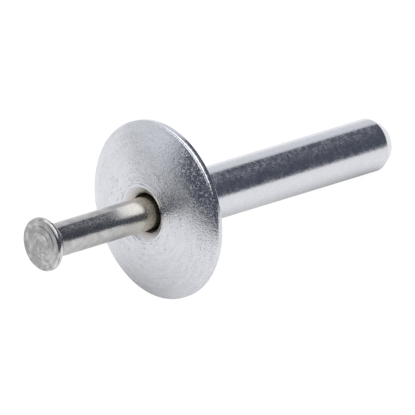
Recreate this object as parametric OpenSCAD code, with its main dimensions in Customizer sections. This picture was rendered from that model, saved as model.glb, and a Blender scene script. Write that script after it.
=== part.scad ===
// Hammer drive rivet with a large domed flange, lying as it comes to rest.
// Both pieces are turned shapes on one axis. A profile point is [radius, height], where height
// counts from the flange's bearing face, positive towards the pin's head.

/* [Flange] */
// Diameter of the flange
flange_d = 16; // [12:0.5:20]
// Height of the domed face at the pin's seat, above the bearing face
flange_h = 2.2; // [2:0.05:2.6]
// Height of the flange's rim
rim_h = 0.55; // [0.4:0.05:0.8]
// Slope of the domed face where it meets the rim, in degrees
rim_slope = 32; // [24:1:36]
// Radius of the rim's front edge
rim_front_r = 0.15; // [0.05:0.05:0.25]
// Radius of the rim's back edge
rim_back_r = 0.08; // [0.04:0.02:0.12]

/* [Shank] */
// Diameter of the shank
shank_d = 4.8; // [4.4:0.1:5.6]
// Length of the shank, from the bearing face to its end
shank_len = 26; // [20:0.5:36]
// Radius of the fillet where the shank meets the bearing face
root_r = 0.3; // [0.1:0.05:0.6]
// Length of the lead-in taper at the end of the shank
lead_len = 1; // [0.5:0.1:1.4]
// Diameter of the flat end of the shank
end_d = 3.66; // [3:0.02:4.2]
// Thickness of the metal that closes the end of the bore
end_wall = 1.5; // [1:0.1:2.5]

/* [Seat] */
// Angle of the conical seat that takes the pin's head, in degrees
seat_angle = 100; // [90:5:110]
// Gap all round between the seated head's rim and the mouth of the seat
head_clear = 0.05; // [0.02:0.01:0.15]
// Radius of the rounded lip of the seat
lip_r = 0.12; // [0.05:0.01:0.2]
// Gap all round the pin where its bore opens into the seat
funnel_gap = 0.3; // [0.1:0.05:0.4]
// Depth over which the bore narrows to the pin
funnel_depth = 1.2; // [0.6:0.1:2]

/* [Pin] */
// Diameter of the pin
pin_d = 3; // [2.6:0.1:3.4]
// Diameter of the pin's head
head_d = 4.8; // [4.4:0.1:5.4]
// Height of the head's rim
head_rim_h = 0.5; // [0.4:0.05:0.6]
// Radius of the head's struck edge
head_front_r = 0.26; // [0.1:0.02:0.28]
// Radius of the head's back edge
head_back_r = 0.1; // [0.04:0.02:0.12]
// Gap all round between the pin and its bore
pin_clear = 0.03; // [0.02:0.01:0.08]
// Gap under the head when the pin is driven home
seat_gap = 0.04; // [0.03:0.01:0.08]
// Length of the taper at the pin's tip
tip_len = 0.8; // [0.4:0.1:1.2]
// Diameter of the flat end of the pin's tip
tip_d = 1.6; // [1:0.1:2.2]
// Gap between the tip and the end of the bore when the pin is driven home
tip_gap = 0.3; // [0.1:0.1:0.6]
// How far the pin stands out from where it is driven home
drive_travel = 11.4; // [8:0.1:14]

/* [Hidden] */
$fn = 72;
edge_steps = 4;
dome_steps = 14;

flange_r = flange_d / 2;
shank_r = shank_d / 2;
pin_r = pin_d / 2;
head_r = head_d / 2;
bore_r = pin_r + pin_clear;
mouth_r = head_r + head_clear + lip_r;

// The cone of the seat starts where the round of its lip meets it without an edge
seat_half = seat_angle / 2;
seat_top_r = mouth_r - lip_r * cos(seat_half);
seat_top = flange_h - lip_r * (1 - sin(seat_half));
funnel_r = pin_r + funnel_gap;
seat_bottom = seat_top - (seat_top_r - funnel_r) / tan(seat_half);
bore_end = -(shank_len - end_wall);
lead_start = -(shank_len - lead_len);

// The pin as it stands before it is driven
head_taper_h = (head_r - pin_r) / tan(seat_half);
head_h = head_rim_h + head_taper_h;
seat_home = seat_top - (seat_top_r - pin_r) / tan(seat_half) + seat_gap;
pin_seat = seat_home + drive_travel;
pin_face = pin_seat + head_h;
pin_tip = bore_end + tip_gap + drive_travel;

// The domed face falls with a slope that is even near the seat and grows with the cube of the
// way to the rim. The two slopes are matched so that the fall ends on the rim's edge.
dome_span = flange_r - mouth_r;
dome_fall = flange_h - rim_h;
slope_at_rim = tan(rim_slope);
slope_at_mouth = (4 * dome_fall / dome_span - slope_at_rim) / 3;
function dome_height(t) =
    flange_h - dome_span * (slope_at_mouth * t + (slope_at_rim - slope_at_mouth) * pow(t, 4) / 4);

// The dome ends where the round of the rim's front edge has the same slope
dome_end = 1 - rim_front_r * (1 - sin(rim_slope)) / dome_span;

// Points along an arc about a centre, from one angle to another
function arc_points(centre, radius, from, to) =
    [for (i = [0 : edge_steps])
        let (a = from + (to - from) * i / edge_steps)
            centre + radius * [cos(a), sin(a)]];

// Lying at rest, the back edge of the rim and the edge of the lead-in touch the ground
drop_along = -lead_start + rim_back_r;
drop_across = flange_r - rim_back_r - shank_r;
rest_tilt = atan2(drop_across, drop_along) + asin(rim_back_r / norm([drop_across, drop_along]));
axis_height = shank_r * cos(rest_tilt) - lead_start * sin(rest_tilt);

// Reach of the lying rivet to both sides of the bearing face, for an origin under its middle
reach_end = shank_len * cos(rest_tilt) + end_d / 2 * sin(rest_tilt);
reach_head = (pin_face - head_front_r) * cos(rest_tilt)
    + (head_r - head_front_r) * sin(rest_tilt) + head_front_r;
mid_shift = (reach_head - reach_end) / 2;

// Lays a piece turned about Z on the ground, with the shank towards +X
module at_rest() {
    translate([mid_shift, 0, axis_height])
        rotate([0, -90 + rest_tilt, 0])
            children();
}

module body_profile() {
    polygon(concat(
        // closed end and lead-in
        [[0, -shank_len], [end_d / 2, -shank_len], [shank_r, lead_start]],
        // fillet into the bearing face
        arc_points([shank_r + root_r, -root_r], root_r, 180, 90),
        // rim
        arc_points([flange_r - rim_back_r, rim_back_r], rim_back_r, -90, 0),
        arc_points([flange_r - rim_front_r, dome_height(dome_end) - rim_front_r * cos(rim_slope)],
            rim_front_r, 0, 90 - rim_slope),
        // domed face, from the rim to the lip
        [for (i = [dome_steps - 1 : -1 : 1])
            [mouth_r + dome_span * dome_end * i / dome_steps, dome_height(dome_end * i / dome_steps)]],
        // lip and conical seat
        arc_points([mouth_r, flange_h - lip_r], lip_r, 90, 180 - seat_half),
        [[funnel_r, seat_bottom]],
        // bore, which opens in a funnel and has a tapered end like the pin's tip
        [[bore_r, seat_bottom - funnel_depth], [bore_r, bore_end + tip_len],
            [tip_d / 2 + pin_clear, bore_end], [0, bore_end]]
    ));
}

module pin_profile() {
    polygon(concat(
        [[0, pin_tip], [tip_d / 2, pin_tip], [pin_r, pin_tip + tip_len], [pin_r, pin_seat]],
        arc_points([head_r - head_back_r, pin_seat + head_taper_h + head_back_r], head_back_r, -90, 0),
        arc_points([head_r - head_front_r, pin_face - head_front_r], head_front_r, 0, 90),
        [[0, pin_face]]
    ));
}

// Flange and shank, headed from one piece of aluminium
module rivet_body() {
    color([0.80, 0.81, 0.84])
        at_rest()
            rotate_extrude()
                body_profile();
}

// Stainless steel pin with its head, standing ready to be driven
module drive_pin() {
    color([0.62, 0.60, 0.57])
        at_rest()
            rotate_extrude()
                pin_profile();
}

rivet_body();
drive_pin();
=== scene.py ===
"""A hammer drive rivet with a large domed flange, lying on a pale table.

Both pieces are turned shapes on one axis. Profile points are (radius, height) in millimetres,
where height counts from the flange's bearing face, positive towards the pin's head.
"""
from math import asin, atan2, cos, hypot, pi, radians, sin, tan

import bmesh
import bpy
from mathutils import Matrix, Vector
from mathutils.geometry import intersect_point_line


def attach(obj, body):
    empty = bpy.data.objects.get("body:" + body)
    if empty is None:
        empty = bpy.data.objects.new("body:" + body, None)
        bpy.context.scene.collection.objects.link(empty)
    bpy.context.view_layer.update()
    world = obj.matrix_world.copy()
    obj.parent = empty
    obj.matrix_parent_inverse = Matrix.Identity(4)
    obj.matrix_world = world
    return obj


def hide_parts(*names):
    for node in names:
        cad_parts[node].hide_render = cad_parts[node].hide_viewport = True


MM = 0.001

# ---------------------------------------------------------------- sizes, in millimetres

# Flange
FLANGE_R, FLANGE_H = 8.0, 2.2
RIM_H, RIM_SLOPE = 0.55, radians(32)
RIM_FRONT_R, RIM_BACK_R = 0.15, 0.08

# Shank
SHANK_R, SHANK_LEN, ROOT_R = 2.4, 26.0, 0.3
LEAD_LEN, END_R, END_WALL = 1.0, 1.83, 1.5
LEAD_EDGE_R, END_EDGE_R = 0.25, 0.12

# Conical seat for the pin's head, and the funnel that opens the bore below it. The lip is
# worn rounder than it was made.
SEAT_HALF, LIP_R, WORN_LIP_R = radians(50), 0.12, 0.25
FUNNEL_GAP, FUNNEL_DEPTH, FUNNEL_EDGE_R = 0.3, 1.2, 0.06

# Pin
PIN_R, HEAD_R, HEAD_RIM_H = 1.5, 2.4, 0.5
HEAD_FRONT_R, HEAD_BACK_R, NECK_R = 0.26, 0.1, 0.4
TIP_LEN, TIP_R, TIP_EDGE_R, TIP_SHOULDER_R = 0.8, 0.8, 0.1, 0.3

# Gaps, and how far the pin stands out from where it is driven home
PIN_CLEAR, HEAD_CLEAR, SEAT_GAP, TIP_GAP = 0.03, 0.05, 0.04, 0.3
DRIVE_TRAVEL = 11.4

# Turned grooves in the domed face: middle, half width, depth
DOME_GROOVES = ((2.80, 0.08, 0.010), (3.35, 0.16, 0.005), (3.75, 0.10, 0.003),
                (4.55, 0.14, 0.004), (5.05, 0.09, 0.002), (6.3, 0.12, 0.002))
# Rounded steps of the pin's struck face: middle, width, drop
FACE_STEPS = ((0.55, 0.20, 0.008), (1.10, 0.16, 0.022), (1.68, 0.18, 0.034))

# How finely the meshes are cut: round the axis, and along the long edges of the profiles
ROUND_STEPS = 256
DOME_CUTS, SHANK_CUTS, FACE_CUTS, PIN_CUTS = 150, 60, 90, 30

# Places that follow from the sizes
BORE_R = PIN_R + PIN_CLEAR
FUNNEL_R = PIN_R + FUNNEL_GAP
MOUTH_R = HEAD_R + HEAD_CLEAR + LIP_R
LEAD_START = -(SHANK_LEN - LEAD_LEN)
BORE_END = -(SHANK_LEN - END_WALL)
SEAT_TOP_R = MOUTH_R - LIP_R * cos(SEAT_HALF)
SEAT_TOP = FLANGE_H - LIP_R * (1 - sin(SEAT_HALF))
SEAT_BOTTOM = SEAT_TOP - (SEAT_TOP_R - FUNNEL_R) / tan(SEAT_HALF)
LIP_CORNER_R = SEAT_TOP_R + (FLANGE_H - SEAT_TOP) * tan(SEAT_HALF)
HEAD_TAPER_H = (HEAD_R - PIN_R) / tan(SEAT_HALF)
SEAT_HOME = SEAT_TOP - (SEAT_TOP_R - PIN_R) / tan(SEAT_HALF) + SEAT_GAP
PIN_SEAT = SEAT_HOME + DRIVE_TRAVEL
PIN_FACE = PIN_SEAT + HEAD_TAPER_H + HEAD_RIM_H
PIN_TIP = BORE_END + TIP_GAP + DRIVE_TRAVEL

# The domed face falls with an even slope near the mouth, which grows towards the rim
DOME_SPAN = FLANGE_R - MOUTH_R
SLOPE_AT_RIM = tan(RIM_SLOPE)
SLOPE_AT_MOUTH = (4 * (FLANGE_H - RIM_H) / DOME_SPAN - SLOPE_AT_RIM) / 3

# How the rivet lies: on the back edge of its rim and the edge of its lead-in
DROP_ALONG = RIM_BACK_R - LEAD_START
DROP_ACROSS = FLANGE_R - RIM_BACK_R - SHANK_R
REST_TILT = atan2(DROP_ACROSS, DROP_ALONG) + asin(RIM_BACK_R / hypot(DROP_ACROSS, DROP_ALONG))
AXIS_HEIGHT = SHANK_R * cos(REST_TILT) - LEAD_START * sin(REST_TILT)
REACH_END = SHANK_LEN * cos(REST_TILT) + END_R * sin(REST_TILT)
REACH_HEAD = ((PIN_FACE - HEAD_FRONT_R) * cos(REST_TILT)
              + (HEAD_R - HEAD_FRONT_R) * sin(REST_TILT) + HEAD_FRONT_R)
BEARING_POINT = Vector(((REACH_HEAD - REACH_END) / 2, 0, AXIS_HEIGHT))
LIE_TURN = REST_TILT - pi / 2
LIE_DOWN = (Matrix.Scale(MM, 4) @ Matrix.Translation(BEARING_POINT)
            @ Matrix.Rotation(LIE_TURN, 4, "Y"))

# ---------------------------------------------------------------- colours of the metals

ALUMINIUM_DARK, ALUMINIUM_LIGHT = (0.615, 0.625, 0.662, 1), (0.652, 0.66, 0.695, 1)
ARC_COLOUR = (0.40, 0.41, 0.44, 1)
PIT_COLOUR = (0.18, 0.18, 0.20, 1)
# A dark broken ring just outside the mouth
MOUTH_RING_COLOUR = (0.20, 0.20, 0.22, 1)
# The seat's pale colour, and a darker copy painted at its bottom as shade in the recess
SEAT_DEEP_SHADE, SEAT_LIGHT = (0.52, 0.50, 0.46, 1), (0.74, 0.725, 0.72, 1)

STEEL_DARK, STEEL_LIGHT = (0.412, 0.404, 0.402, 1), (0.52, 0.514, 0.512, 1)
# A warmer tint near the flange, made brighter as a painted highlight
STEEL_WARM_HIGHLIGHT = (0.79, 0.74, 0.635, 1)
# Painted shade where the pin enters the seat
ENTRY_SHADE_COLOUR = (0.27, 0.255, 0.21, 1)
# Painted highlight on the head's rounded edge
HEAD_EDGE_HIGHLIGHT = (0.62, 0.615, 0.615, 1)
STAIN_COLOUR = (0.28, 0.275, 0.28, 1)
RING_COLOUR = (0.20, 0.20, 0.205, 1)

# ---------------------------------------------------------------- settings of the view

# In metres. The white sheet on the table fades out to the left over SHEET_FADE.
TABLE_HALF, TABLE_GLOW, BARE_GLOW = 1.5, 0.95, 0.2
SHEET_END, SHEET_FADE = 0.075, 0.05
# Painted shade in the table's glow close under the rivet: how far it reaches and how dim it gets
CONTACT_SHADE_REACH, CONTACT_SHADE_GLOW = 0.012, 0.35
ROOM_COLOUR, WALL_COLOUR = (0.085, 0.095, 0.125, 1), (1, 1, 1, 1)
LAMP_HEIGHT, LAMP_WIDTH, LAMP_GLOW = 0.8, 1.5, 1.8
PANEL_AWAY, PANEL_WIDTH, PANEL_HEIGHT, PANEL_GLOW = 0.8, 3.25, 0.95, 0.8

# In millimetres
LENS, SENSOR_WIDTH, VIEW_AWAY = 1041, 36, 1043.8
VIEW_TURN, VIEW_LIFT = radians(-41.05), radians(38.21)
AIM_RIGHT, AIM_UP = 4.094, 0.087


# ---------------------------------------------------------------- turned shapes

def profile_line(bm, points):
    """A chain of edges through the points, each (radius, height)."""
    verts = [bm.verts.new((r, 0, h)) for r, h in points]
    for pair in zip(verts, verts[1:]):
        bm.edges.new(pair)
    return verts


def round_corner(bm, vert, radius, segments):
    """Rounds one corner of a profile with an arc of that radius."""
    ends = [edge.other_vert(vert).co - vert.co for edge in vert.link_edges]
    turn = pi - ends[0].angle(ends[1])
    bmesh.ops.bevel(bm, geom=[vert], offset=radius * tan(turn / 2), offset_type="OFFSET",
                    segments=segments, profile=0.5, affect="VERTICES", material=-1)


def cut_edge(bm, radius, height, cuts, height_at=None):
    """Cuts the profile's edge that passes nearest to (radius, height), and moves the new points
    to height_at(their radius) if that is given."""
    spot = Vector((radius, 0, height))

    def away(edge):
        near, share = intersect_point_line(spot, edge.verts[0].co, edge.verts[1].co)
        return (near - spot).length if 0 < share < 1 else float("inf")

    made = bmesh.ops.subdivide_edges(bm, edges=[min(bm.edges, key=away)], cuts=cuts)
    for vert in made["geom_inner"]:
        if height_at and isinstance(vert, bmesh.types.BMVert):
            vert.co.z = height_at(vert.co.x)


def add_object(name, bm):
    """Turns a bmesh into an object in the scene."""
    mesh = bpy.data.meshes.new(name)
    bm.to_mesh(mesh)
    bm.free()
    made = bpy.data.objects.new(name, mesh)
    bpy.context.scene.collection.objects.link(made)
    return made


def turned_piece(name, bm):
    """Spins a profile into a closed piece, lays it down and returns its object."""
    bmesh.ops.spin(bm, geom=bm.verts[:] + bm.edges[:], cent=(0, 0, 0), axis=(0, 0, 1),
                   dvec=(0, 0, 0), angle=2 * pi, steps=ROUND_STEPS, use_merge=True,
                   use_duplicate=False)
    bmesh.ops.remove_doubles(bm, verts=bm.verts, dist=1e-5)
    bmesh.ops.recalc_face_normals(bm, faces=bm.faces)
    bmesh.ops.transform(bm, matrix=LIE_DOWN, verts=bm.verts)
    for face in bm.faces:
        face.smooth = True
    piece = add_object(name, bm)
    even = piece.modifiers.new("even_shading", "WEIGHTED_NORMAL")
    even.weight = 80
    return piece


def ring_dip(radius, middle, half_width, depth):
    """How far a turned groove lowers the face at a radius."""
    away = abs(radius - middle) / half_width
    return depth * (0.5 + 0.5 * cos(pi * away)) if away < 1 else 0.0


def dome_height(radius):
    """Height of the domed face, with its turned grooves."""
    t = max(0.0, (radius - MOUTH_R) / DOME_SPAN)
    fall = SLOPE_AT_MOUTH * t + (SLOPE_AT_RIM - SLOPE_AT_MOUTH) * t ** 4 / 4
    return FLANGE_H - DOME_SPAN * fall - sum(ring_dip(radius, *g) for g in DOME_GROOVES)


def make_rivet_body():
    """Flange, shank, conical seat and bore, in one piece."""
    bm = bmesh.new()
    verts = profile_line(bm, [
        (0, -SHANK_LEN), (END_R, -SHANK_LEN), (SHANK_R, LEAD_START),
        (SHANK_R, 0), (FLANGE_R, 0), (FLANGE_R, RIM_H), (LIP_CORNER_R, FLANGE_H),
        (FUNNEL_R, SEAT_BOTTOM), (BORE_R, SEAT_BOTTOM - FUNNEL_DEPTH),
        (BORE_R, BORE_END + TIP_LEN),
        (TIP_R + PIN_CLEAR, BORE_END), (0, BORE_END)])
    end, lead, root, rim_back, rim_front, lip, funnel = verts[1:8]
    for vert, radius, segments in (
            (end, END_EDGE_R, 4), (lead, LEAD_EDGE_R, 4), (root, ROOT_R, 6),
            (rim_back, RIM_BACK_R, 4), (rim_front, RIM_FRONT_R, 6),
            (lip, WORN_LIP_R, 8), (funnel, FUNNEL_EDGE_R, 3)):
        round_corner(bm, vert, radius, segments)
    cut_edge(bm, (MOUTH_R + FLANGE_R) / 2, (RIM_H + FLANGE_H) / 2, DOME_CUTS, dome_height)
    cut_edge(bm, SHANK_R, -SHANK_LEN / 2, SHANK_CUTS)
    return turned_piece("headed_body", bm)


def face_height(radius):
    """Height of the pin's struck face, which falls outwards in rounded steps."""
    height = PIN_FACE
    for middle, width, drop in FACE_STEPS:
        share = min(1.0, max(0.0, (radius - middle) / width + 0.5))
        height -= drop * share * share * (3 - 2 * share)
    return height


def make_pin():
    """Pin with its head and struck face."""
    bm = bmesh.new()
    face_edge = face_height(HEAD_R)
    verts = profile_line(bm, [
        (0, PIN_TIP), (TIP_R, PIN_TIP), (PIN_R, PIN_TIP + TIP_LEN), (PIN_R, PIN_SEAT),
        (HEAD_R, PIN_SEAT + HEAD_TAPER_H), (HEAD_R, face_edge), (0, PIN_FACE)])
    tip, shoulder, neck, back, front = verts[1:6]
    for vert, radius, segments in (
            (tip, TIP_EDGE_R, 3), (shoulder, TIP_SHOULDER_R, 3), (neck, NECK_R, 5),
            (back, HEAD_BACK_R, 4), (front, HEAD_FRONT_R, 8)):
        round_corner(bm, vert, radius, segments)
    cut_edge(bm, HEAD_R / 2, (face_edge + PIN_FACE) / 2, FACE_CUTS, face_height)
    cut_edge(bm, PIN_R, PIN_SEAT / 2, PIN_CUTS)
    return turned_piece("headed_pin", bm)


# ---------------------------------------------------------------- shader node helpers

def feed(tree, socket, value):
    """Links a node's output to an input, or sets the input to a plain value."""
    if isinstance(value, bpy.types.NodeSocket):
        tree.links.new(value, socket)
    else:
        socket.default_value = value


def node(tree, kind, settings=None, inputs=None):
    """Adds a shader node, sets its properties, and feeds its inputs."""
    made = tree.nodes.new(kind)
    for key, value in (settings or {}).items():
        setattr(made, key, value)
    for key, value in (inputs or {}).items():
        feed(tree, made.inputs[key], value)
    return made


def maths(tree, operation, *values):
    """One Math node."""
    return node(tree, "ShaderNodeMath", {"operation": operation},
                dict(enumerate(values))).outputs[0]


def times(tree, *values):
    """The product of two values."""
    return maths(tree, "MULTIPLY", *values)


def plus(tree, *values):
    """The sum of two values."""
    return maths(tree, "ADD", *values)


def spread(tree, value, low, high, to_low, to_high):
    """Maps a value from one range to another, smoothly and within bounds."""
    made = node(tree, "ShaderNodeMapRange", {"interpolation_type": "SMOOTHSTEP"},
                {"Value": value, "From Min": low, "From Max": high,
                 "To Min": to_low, "To Max": to_high})
    return made.outputs["Result"]


def blend_colour(tree, share, first, second):
    """Mixes two colours, of which the share is the second's."""
    made = node(tree, "ShaderNodeMix", {"data_type": "RGBA"}, {0: share, 6: first, 7: second})
    return made.outputs[2]


def new_group(name, inputs, outputs):
    """A shader node group with named sockets; inputs is {name: (kind, default)}."""
    tree = bpy.data.node_groups.new(name, "ShaderNodeTree")
    for key, (kind, default) in inputs.items():
        socket = tree.interface.new_socket(key, in_out="INPUT", socket_type="NodeSocket" + kind)
        if default is not None:
            socket.default_value = default
    for key, kind in outputs.items():
        tree.interface.new_socket(key, in_out="OUTPUT", socket_type="NodeSocket" + kind)
    entry = tree.nodes.new("NodeGroupInput")
    leave = tree.nodes.new("NodeGroupOutput")
    return tree, entry.outputs, leave.inputs


def use_group(tree, group, **inputs):
    """Places a group in a material, with its own values."""
    made = tree.nodes.new("ShaderNodeGroup")
    made.node_tree = group
    for key, value in inputs.items():
        feed(tree, made.inputs[key], value)
    return made.outputs


# ---------------------------------------------------------------- shared effects

def turned_place_group():
    """Where a point is on a turned piece, in mm: its place on the upright axis, its radius and
    height, and the direction from the axis to it."""
    tree, _, out = new_group("turned_place", {}, {
        "Place": "Vector", "Radius": "Float", "Height": "Float", "Round": "Vector"})
    place = node(tree, "ShaderNodeTexCoord").outputs["Object"]
    on_axis = node(tree, "ShaderNodeMapping", {"vector_type": "TEXTURE"}, {
        "Vector": place, "Location": BEARING_POINT * MM, "Rotation": (0, LIE_TURN, 0),
        "Scale": (MM, MM, MM)}).outputs[0]
    parts = node(tree, "ShaderNodeSeparateXYZ", None, {0: on_axis}).outputs
    flat = node(tree, "ShaderNodeCombineXYZ", None, {0: parts[0], 1: parts[1]}).outputs[0]
    radius = node(tree, "ShaderNodeVectorMath", {"operation": "LENGTH"}, {0: flat})
    around = node(tree, "ShaderNodeVectorMath", {"operation": "NORMALIZE"}, {0: flat})
    tree.links.new(on_axis, out["Place"])
    tree.links.new(radius.outputs["Value"], out["Radius"])
    tree.links.new(parts[2], out["Height"])
    tree.links.new(around.outputs[0], out["Round"])
    return tree


def tool_marks_group():
    """Lines that run round the axis, Pitch apart. A larger Broken breaks them up shorter."""
    tree, given, out = new_group("tool_marks", {
        "Along": ("Float", 0.0), "Round": ("Vector", None), "Pitch": ("Float", 0.1),
        "Broken": ("Float", 1.0)}, {"Lines": "Float"})
    along = maths(tree, "DIVIDE", given["Along"], given["Pitch"])
    around = node(tree, "ShaderNodeVectorMath", {"operation": "SCALE"},
                  {0: given["Round"], "Scale": given["Broken"]}).outputs[0]
    lift = node(tree, "ShaderNodeCombineXYZ", None, {2: along}).outputs[0]
    spot = node(tree, "ShaderNodeVectorMath", {"operation": "ADD"}, {0: around, 1: lift})
    lines = node(tree, "ShaderNodeTexNoise", None, {
        "Vector": spot.outputs[0], "Scale": 1.0, "Detail": 3.0, "Roughness": 0.6})
    tree.links.new(lines.outputs[0], out["Lines"])
    return tree


def mottle_group():
    """Uneven patches and a fine grain, as on bright metal that was tumbled."""
    tree, given, out = new_group("tumbled_mottle", {
        "Place": ("Vector", None), "Patch": ("Float", 0.6), "Grain": ("Float", 0.12)},
        {"Patches": "Float", "Grain": "Float"})
    for socket, size, detail in (("Patches", "Patch", 1.5), ("Grain", "Grain", 2.0)):
        scale = maths(tree, "DIVIDE", 1.0, given[size])
        made = node(tree, "ShaderNodeTexNoise", None, {
            "Vector": given["Place"], "Scale": scale, "Detail": detail, "Roughness": 0.6})
        tree.links.new(made.outputs[0], out[socket])
    return tree


def pits_group():
    """Small scattered pits: 1 in a pit and 0 between. Size is the largest pit's radius, as a
    share of Spacing."""
    tree, given, out = new_group("small_pits", {
        "Place": ("Vector", None), "Spacing": ("Float", 0.5), "Size": ("Float", 0.1)},
        {"Pits": "Float"})
    scale = maths(tree, "DIVIDE", 1.0, given["Spacing"])
    cells = node(tree, "ShaderNodeTexVoronoi", None, {"Vector": given["Place"], "Scale": scale})
    pick = node(tree, "ShaderNodeSeparateColor", None, {0: cells.outputs["Color"]}).outputs[0]
    size = times(tree, pick, given["Size"])
    pit = spread(tree, cells.outputs["Distance"], 0.0, size, 1.0, 0.0)
    tree.links.new(pit, out["Pits"])
    return tree


TURNED_PLACE = turned_place_group()
TOOL_MARKS = tool_marks_group()
MOTTLE = mottle_group()
PITS = pits_group()

# The parts of the noises' range that show
PATCH_RANGE, GRAIN_RANGE = (0.3, 0.7), (0.35, 0.65)


def metal_material(name):
    """A new material with a plain metal shader, its node tree and the shader's inputs."""
    material = bpy.data.materials.new(name)
    material.use_nodes = True
    tree = material.node_tree
    shader = tree.nodes["Principled BSDF"]
    shader.inputs["Metallic"].default_value = 1.0
    return material, tree, shader.inputs


def surface_bump(tree, strength, depth, height):
    """The normal of a surface with a fine relief, its depth in mm."""
    return node(tree, "ShaderNodeBump", None, {
        "Strength": strength, "Distance": depth * MM, "Height": height}).outputs[0]


def bright_aluminium():
    """Cold headed aluminium: bright and cool, with broken arcs and pits on the flange, a dark
    broken ring round the mouth, matt specks towards its rim, soft dents all over, and a duller,
    warmer seat that is painted darker at its bottom as shade."""
    material, tree, shader = metal_material("bright_aluminium")
    place = use_group(tree, TURNED_PLACE)
    radius, height = place["Radius"], place["Height"]
    fine = use_group(tree, TOOL_MARKS, Along=radius, Round=place["Round"],
                     Pitch=0.09, Broken=5.0)["Lines"]
    arcs = use_group(tree, TOOL_MARKS, Along=radius, Round=place["Round"],
                     Pitch=0.3, Broken=3.0)["Lines"]
    mottle = use_group(tree, MOTTLE, Place=place["Place"], Patch=0.45, Grain=0.15)
    patches, grain = mottle["Patches"], mottle["Grain"]

    # Where things are: the flange's face, the seat inside its mouth, the seat above the painted
    # shade at its bottom, a dark broken ring just outside the mouth, the matt specks, and the
    # pits, which gather in arcs near the mouth
    above = spread(tree, height, 0.2, 0.4, 0, 1)
    inside = times(tree, above, spread(tree, radius, MOUTH_R - 0.3, MOUTH_R - 0.2, 1, 0))
    # Fades out the painted shade at the bottom of the seat
    above_seat_shade = spread(tree, height, SEAT_BOTTOM - 0.1, SEAT_BOTTOM + 0.15, 0, 1)
    # A dark broken ring just outside the mouth
    off_mouth_ring = maths(tree, "ABSOLUTE", maths(tree, "SUBTRACT", radius, MOUTH_R + 0.12))
    mouth_ring = times(tree, spread(tree, off_mouth_ring, 0.02, 0.07, 1, 0),
                 spread(tree, arcs, 0.4, 0.6, 0.1, 0.6))
    outer = times(tree, above, spread(tree, radius, 4.6, 6.6, 0, 1))
    specks = times(tree, outer, spread(tree, grain, 0.54, 0.64, 0, 0.25))
    pits = use_group(tree, PITS, Place=place["Place"], Spacing=0.30, Size=0.75)["Pits"]
    pits = times(tree, pits, spread(tree, arcs, 0.46, 0.54, 0, 1))
    pits = times(tree, pits, spread(tree, radius, 4.2, 5.6, 1, 0.2))
    pits = times(tree, pits, above)

    tone = blend_colour(tree, spread(tree, patches, *PATCH_RANGE, 0, 1),
                        ALUMINIUM_DARK, ALUMINIUM_LIGHT)
    dull = times(tree, above, spread(tree, arcs, 0.42, 0.66, 0, 0.19))
    tone = blend_colour(tree, dull, tone, ARC_COLOUR)
    tone = blend_colour(tree, times(tree, pits, 0.5), tone, PIT_COLOUR)
    tone = blend_colour(tree, inside, tone, blend_colour(tree, above_seat_shade, SEAT_DEEP_SHADE, SEAT_LIGHT))
    tone = blend_colour(tree, times(tree, mouth_ring, above), tone, MOUTH_RING_COLOUR)
    feed(tree, shader["Base Color"], tone)

    rough = plus(tree, spread(tree, grain, *GRAIN_RANGE, 0, 0.07),
                 spread(tree, patches, *PATCH_RANGE, 0.14, 0.22))
    rough = plus(tree, rough, times(tree, inside, 0.25))
    feed(tree, shader["Roughness"], plus(tree, rough, specks))

    relief = times(tree, grain, maths(tree, "MULTIPLY_ADD", above, 2.6, 0.5))
    brushed = spread(tree, radius, 4.5, 6.5, 0.4, 1.2)
    relief = maths(tree, "MULTIPLY_ADD", fine, brushed, relief)
    relief = plus(tree, relief, times(tree, patches, 0.8))
    relief = plus(tree, relief, times(tree, arcs, 0.4))
    relief = maths(tree, "SUBTRACT", relief, times(tree, pits, 1.2))
    feed(tree, shader["Normal"], surface_bump(tree, 0.5, 0.012, relief))
    return material


def pin_steel():
    """Stainless steel: darker and neutral, with a warmer, brighter tint painted near the flange
    as a highlight, painted shade where it enters the seat, a painted highlight on the head's
    rounded edge, and stains and rings on the struck face."""
    material, tree, shader = metal_material("pin_steel")
    place = use_group(tree, TURNED_PLACE)
    radius, height = place["Radius"], place["Height"]
    rings = use_group(tree, TOOL_MARKS, Along=radius, Round=place["Round"],
                      Pitch=0.11, Broken=1.6)["Lines"]
    mottle = use_group(tree, MOTTLE, Place=place["Place"], Patch=0.8, Grain=0.15)
    patches, grain = mottle["Patches"], mottle["Grain"]

    # A warmer tint near the flange, made brighter as a painted highlight
    warm_highlight = spread(tree, height, FLANGE_H + 0.5, FLANGE_H + 5, 0.85, 0)
    # Painted shade where the pin enters the seat
    entry = spread(tree, height, FLANGE_H - 0.6, FLANGE_H + 1.1, 0.68, 0)
    # Painted highlight on the head's rounded edge
    head_edge_highlight = times(tree, spread(tree, height, PIN_SEAT, PIN_SEAT + 0.5, 0, 1),
                      spread(tree, radius, HEAD_R - 0.25, HEAD_R - 0.1, 0, 1))
    face = spread(tree, height, PIN_FACE - 0.3, PIN_FACE - 0.2, 0, 1)
    stains = times(tree, face, spread(tree, patches, 0.42, 0.62, 0.6, 0))
    marks = times(tree, face, spread(tree, rings, 0.42, 0.62, 0, 0.5))

    tone = blend_colour(tree, spread(tree, patches, *PATCH_RANGE, 0, 1),
                        STEEL_DARK, STEEL_LIGHT)
    for share, colour in ((warm_highlight, STEEL_WARM_HIGHLIGHT), (entry, ENTRY_SHADE_COLOUR),
                          (head_edge_highlight, HEAD_EDGE_HIGHLIGHT), (stains, STAIN_COLOUR),
                          (marks, RING_COLOUR)):
        tone = blend_colour(tree, share, tone, colour)
    feed(tree, shader["Base Color"], tone)
    feed(tree, shader["Roughness"], spread(tree, grain, *GRAIN_RANGE, 0.18, 0.28))

    relief = maths(tree, "MULTIPLY_ADD", grain, 0.22, times(tree, rings, face))
    relief = plus(tree, relief, times(tree, patches, 1.5))
    feed(tree, shader["Normal"], surface_bump(tree, 0.4, 0.01, relief))
    return material


# ---------------------------------------------------------------- table, light and camera

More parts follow.
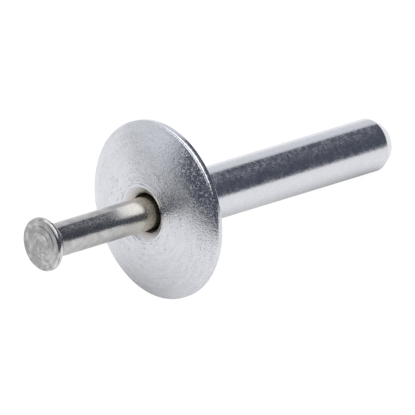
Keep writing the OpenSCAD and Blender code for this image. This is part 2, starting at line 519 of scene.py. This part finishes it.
def pale_table():
    """A pale table that glows evenly. In the metal it shows darker close under the rivet, where
    its glow is painted down as the rivet's shade, and far out to the left, where the white sheet
    ends."""
    bm = bmesh.new()
    bmesh.ops.create_grid(bm, x_segments=1, y_segments=1, size=TABLE_HALF)
    table = add_object("table", bm)
    material = bpy.data.materials.new("pale_table")
    material.use_nodes = True
    tree = material.node_tree
    shader = tree.nodes["Principled BSDF"].inputs
    shader["Base Color"].default_value = (0.15, 0.15, 0.15, 1)
    shader["Roughness"].default_value = 0.9
    shader["Specular IOR Level"].default_value = 0.0
    shader["Emission Color"].default_value = (1, 1, 1, 1)
    place = node(tree, "ShaderNodeTexCoord").outputs["Object"]
    left = node(tree, "ShaderNodeSeparateXYZ", None, {0: place}).outputs[0]
    sheet = spread(tree, left, -SHEET_END - SHEET_FADE, -SHEET_END, BARE_GLOW, TABLE_GLOW)
    # Painted shade: the glow dims where the rivet closes the table in
    near = node(tree, "ShaderNodeAmbientOcclusion", {"samples": 8}, {"Distance": CONTACT_SHADE_REACH})
    glow = times(tree, sheet, spread(tree, near.outputs["AO"], 0.2, 0.95, CONTACT_SHADE_GLOW, 1))
    seen = node(tree, "ShaderNodeLightPath").outputs["Is Camera Ray"]
    glow = maths(tree, "MAXIMUM", glow, times(tree, seen, TABLE_GLOW))
    feed(tree, shader["Emission Strength"], glow)
    table.data.materials.append(material)


def soft_lamp(name, shape, width, height, glow, place, turn):
    """A soft lamp of even brightness, its sizes in metres."""
    lamp = bpy.data.lights.new(name, "AREA")
    lamp.shape, lamp.size, lamp.size_y = shape, width, height
    lamp.energy = glow * pi * width * height * (pi / 4 if shape == "ELLIPSE" else 1)
    holder = bpy.data.objects.new(name, lamp)
    holder.location, holder.rotation_euler = place, turn
    bpy.context.scene.collection.objects.link(holder)


def soft_light():
    """A dim room round the table, a wide soft panel behind it and a soft lamp above it."""
    world = bpy.context.scene.world or bpy.data.worlds.new("room")
    bpy.context.scene.world = world
    world.use_nodes = True
    tree = world.node_tree
    tree.nodes.clear()
    room = node(tree, "ShaderNodeBackground", None, {"Color": ROOM_COLOUR})
    wall = node(tree, "ShaderNodeBackground", None, {"Color": WALL_COLOUR})
    seen = node(tree, "ShaderNodeLightPath").outputs["Is Camera Ray"]
    both = node(tree, "ShaderNodeMixShader", None, {
        0: seen, 1: room.outputs[0], 2: wall.outputs[0]})
    node(tree, "ShaderNodeOutputWorld", None, {"Surface": both.outputs[0]})
    soft_lamp("lamp_above", "ELLIPSE", LAMP_WIDTH, LAMP_WIDTH, LAMP_GLOW,
              (0, 0, LAMP_HEIGHT), (0, 0, 0))
    soft_lamp("panel_behind", "RECTANGLE", PANEL_WIDTH, PANEL_HEIGHT, PANEL_GLOW,
              (0, PANEL_AWAY, PANEL_HEIGHT / 2), (-pi / 2, 0, 0))


def place_camera():
    """A very long lens, turned and lifted, aimed a little beside the bearing point."""
    back = Vector((sin(VIEW_TURN) * cos(VIEW_LIFT), -cos(VIEW_TURN) * cos(VIEW_LIFT),
                   sin(VIEW_LIFT)))
    right = Vector((cos(VIEW_TURN), sin(VIEW_TURN), 0))
    up = back.cross(right)
    aim = BEARING_POINT + AIM_RIGHT * right + AIM_UP * up
    lens = bpy.data.cameras.new("camera")
    lens.sensor_width, lens.lens = SENSOR_WIDTH, LENS
    lens.clip_start, lens.clip_end = 0.1, 10
    camera = bpy.data.objects.new("camera", lens)
    camera.location = (aim + VIEW_AWAY * back) * MM
    camera.rotation_mode = "QUATERNION"
    camera.rotation_quaternion = (-back).to_track_quat("-Z", "Y")
    bpy.context.scene.collection.objects.link(camera)
    bpy.context.scene.camera = camera


# ---------------------------------------------------------------- the scene

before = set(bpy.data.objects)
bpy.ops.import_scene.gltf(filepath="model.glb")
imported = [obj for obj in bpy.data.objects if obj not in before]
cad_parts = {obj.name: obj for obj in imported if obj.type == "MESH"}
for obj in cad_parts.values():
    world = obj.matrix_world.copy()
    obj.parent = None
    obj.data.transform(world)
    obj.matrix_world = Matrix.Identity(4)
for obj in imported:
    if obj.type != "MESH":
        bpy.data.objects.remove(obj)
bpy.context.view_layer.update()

bpy.context.scene.view_settings.view_transform = "Standard"
place_camera()
pale_table()
soft_light()

body = make_rivet_body()
body.data.materials.append(bright_aluminium())
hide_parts("rivet_body")
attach(body, "rivet")

pin = make_pin()
pin.data.materials.append(pin_steel())
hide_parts("drive_pin")
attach(pin, "pin")
